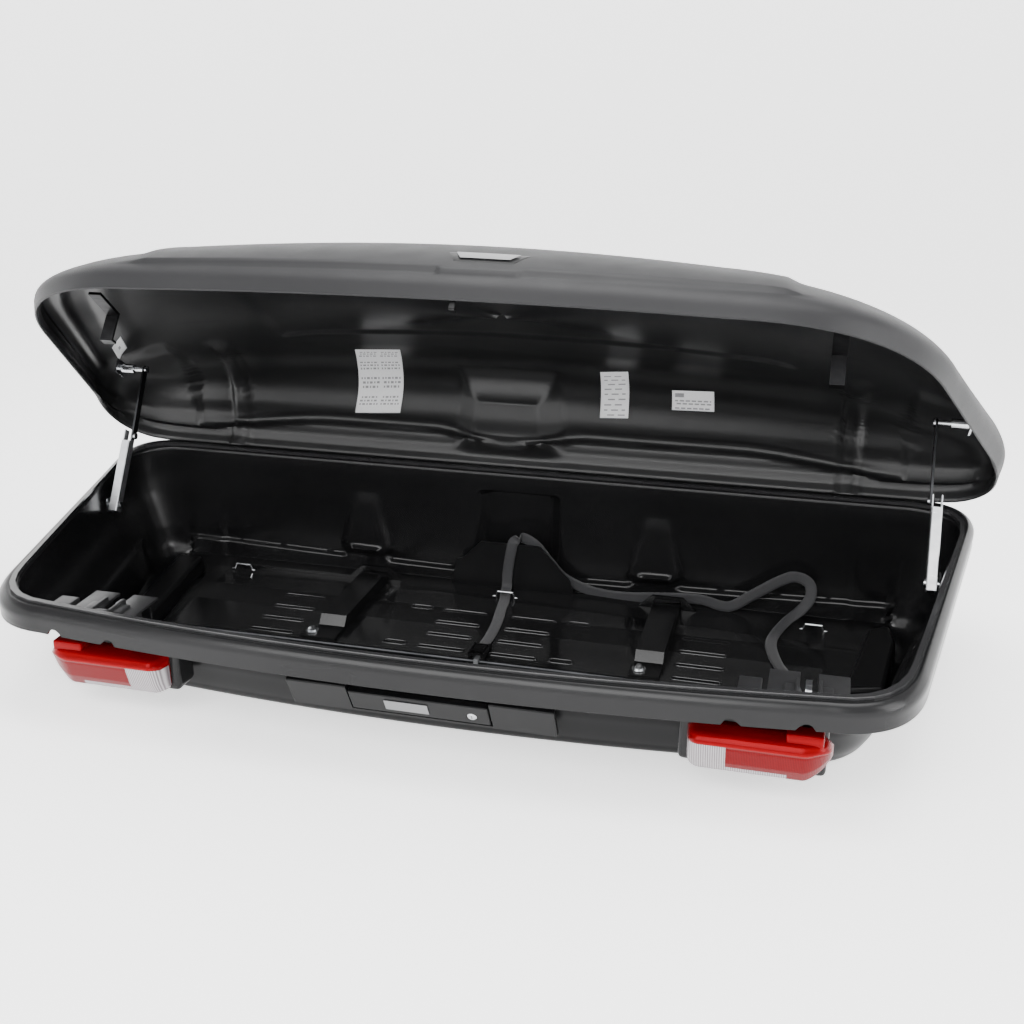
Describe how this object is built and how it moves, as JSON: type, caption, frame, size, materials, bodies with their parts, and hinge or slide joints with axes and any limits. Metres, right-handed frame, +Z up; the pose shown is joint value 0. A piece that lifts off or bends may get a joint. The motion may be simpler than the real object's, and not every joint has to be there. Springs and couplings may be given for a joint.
{
  "type": "rear cargo box",
  "caption": "Rear-mounted luggage box with tail lamps, a domed lid on hinges held open by folding stays, a release handle with lock, and a slotted floor tray with clamp bars and a strap.",
  "frame": {"origin": "on the flat underside of the tub, on its plane of symmetry, between the clamp bars", "axes": "+Z up, +X to the right along the long side as seen from the lamps, +Y away from the tail lamps towards the lid hinge"},
  "size_m": [1.542, 0.712, 0.6542],
  "materials": {
    "tub": "semi-gloss moulded ABS",
    "lid": "fine-grained matt ABS outside",
    "trim": "satin",
    "seal": "matt",
    "tray": "semi-gloss",
    "zinc": "bright zinc plated",
    "dark_steel": "dark coated",
    "red": "polished lens",
    "clear": "polished ribbed lens",
    "grey": "satin",
    "paper": "printed film",
    "webbing": "woven polyester"
  },
  "bodies": {
    "tub": {"base_shell": "tub", "rim_seal": "seal", "floor_tray": "tray", "tray_rear_rail": "tray", "clamp_bar_left": "trim", "clamp_bar_right": "trim", "bar_bolt_left": "zinc", "bar_bolt_right": "zinc", "strap_anchor_plate": "tray", "strap_clip_left": "zinc", "strap_clip_centre": "zinc", "strap_clip_right": "zinc", "luggage_strap": "webbing", "strap_buckle": "trim", "latch_panel": "trim", "latch_plate_left": "trim", "latch_plate_right": "trim", "lamp_housing_left": "trim", "lamp_housing_right": "trim", "lamp_red_lens_left": "red", "lamp_red_lens_right": "red", "lamp_clear_lens_left": "clear", "lamp_clear_lens_right": "clear", "stay_foot_bracket_left": "zinc", "stay_foot_bracket_right": "zinc", "hinge_leaf_tub_left": "dark_steel", "hinge_leaf_tub_centre": "dark_steel", "hinge_leaf_tub_right": "dark_steel", "hinge_pin_left": "zinc", "hinge_pin_centre": "zinc", "hinge_pin_right": "zinc"},
    "lid": {"lid_shell": "lid", "striker_left": "zinc", "striker_right": "zinc", "stay_head_bracket_left": "zinc", "stay_head_bracket_right": "zinc", "hinge_leaf_lid_left": "dark_steel", "hinge_leaf_lid_centre": "dark_steel", "hinge_leaf_lid_right": "dark_steel"},
    "channel_left": {"stay_channel_left": "zinc"},
    "channel_right": {"stay_channel_right": "zinc"},
    "link_left": {"stay_link_left": "dark_steel", "stay_rivet_left": "zinc"},
    "link_right": {"stay_link_right": "dark_steel", "stay_rivet_right": "zinc"},
    "latch": {"latch_shaft": "dark_steel", "latch_claw_left": "zinc", "latch_claw_right": "zinc", "latch_lever": "zinc"},
    "handle": {"release_handle": "trim", "handle_plate": "grey"},
    "lock": {"lock_cylinder": "zinc"}
  },
  "joints": [
    {"name": "lid_hinge", "type": "hinge", "parent": "tub", "child": "lid", "pos_m": [0, 0.362, 0.213], "axis": [1, 0, 0], "range_deg": [0, 37]},
    {"name": "stay_foot_left", "type": "hinge", "parent": "tub", "child": "channel_left", "pos_m": [-0.672, 0.1155, 0.163], "axis": [1, 0, 0], "range_deg": [-54.8, 0]},
    {"name": "stay_head_left", "type": "hinge", "parent": "lid", "child": "link_left", "pos_m": [-0.672, 0.2373, 0.374], "axis": [1, 0, 0], "range_deg": [0, 29.7]},
    {"name": "stay_foot_right", "type": "hinge", "parent": "tub", "child": "channel_right", "pos_m": [0.672, 0.1155, 0.163], "axis": [1, 0, 0], "range_deg": [-54.8, 0]},
    {"name": "stay_head_right", "type": "hinge", "parent": "lid", "child": "link_right", "pos_m": [0.672, 0.2373, 0.374], "axis": [1, 0, 0], "range_deg": [0, 29.7]},
    {"name": "latch_turn", "type": "hinge", "parent": "tub", "child": "latch", "pos_m": [0, -0.222, 0.125], "axis": [1, 0, 0], "range_deg": [0, 35]},
    {"name": "handle_pull", "type": "hinge", "parent": "tub", "child": "handle", "pos_m": [0, -0.23469, 0.04614], "axis": [1, 0, 0], "range_deg": [0, 25], "stiffness_Nm_per_rad": 0.6},
    {"name": "lock_turn", "type": "hinge", "parent": "handle", "child": "lock", "pos_m": [0.075, -0.2471, 0.05648], "axis": [0, -0.8797, -0.4756], "range_deg": [0, 90]}
  ],
  "couplings": [
    {"joint": "stay_foot_left", "follows": "lid_hinge", "ratio": -1.4805},
    {"joint": "stay_head_left", "follows": "lid_hinge", "ratio": 0.8013},
    {"joint": "stay_foot_right", "follows": "lid_hinge", "ratio": -1.4805},
    {"joint": "stay_head_right", "follows": "lid_hinge", "ratio": 0.8013}
  ]
}
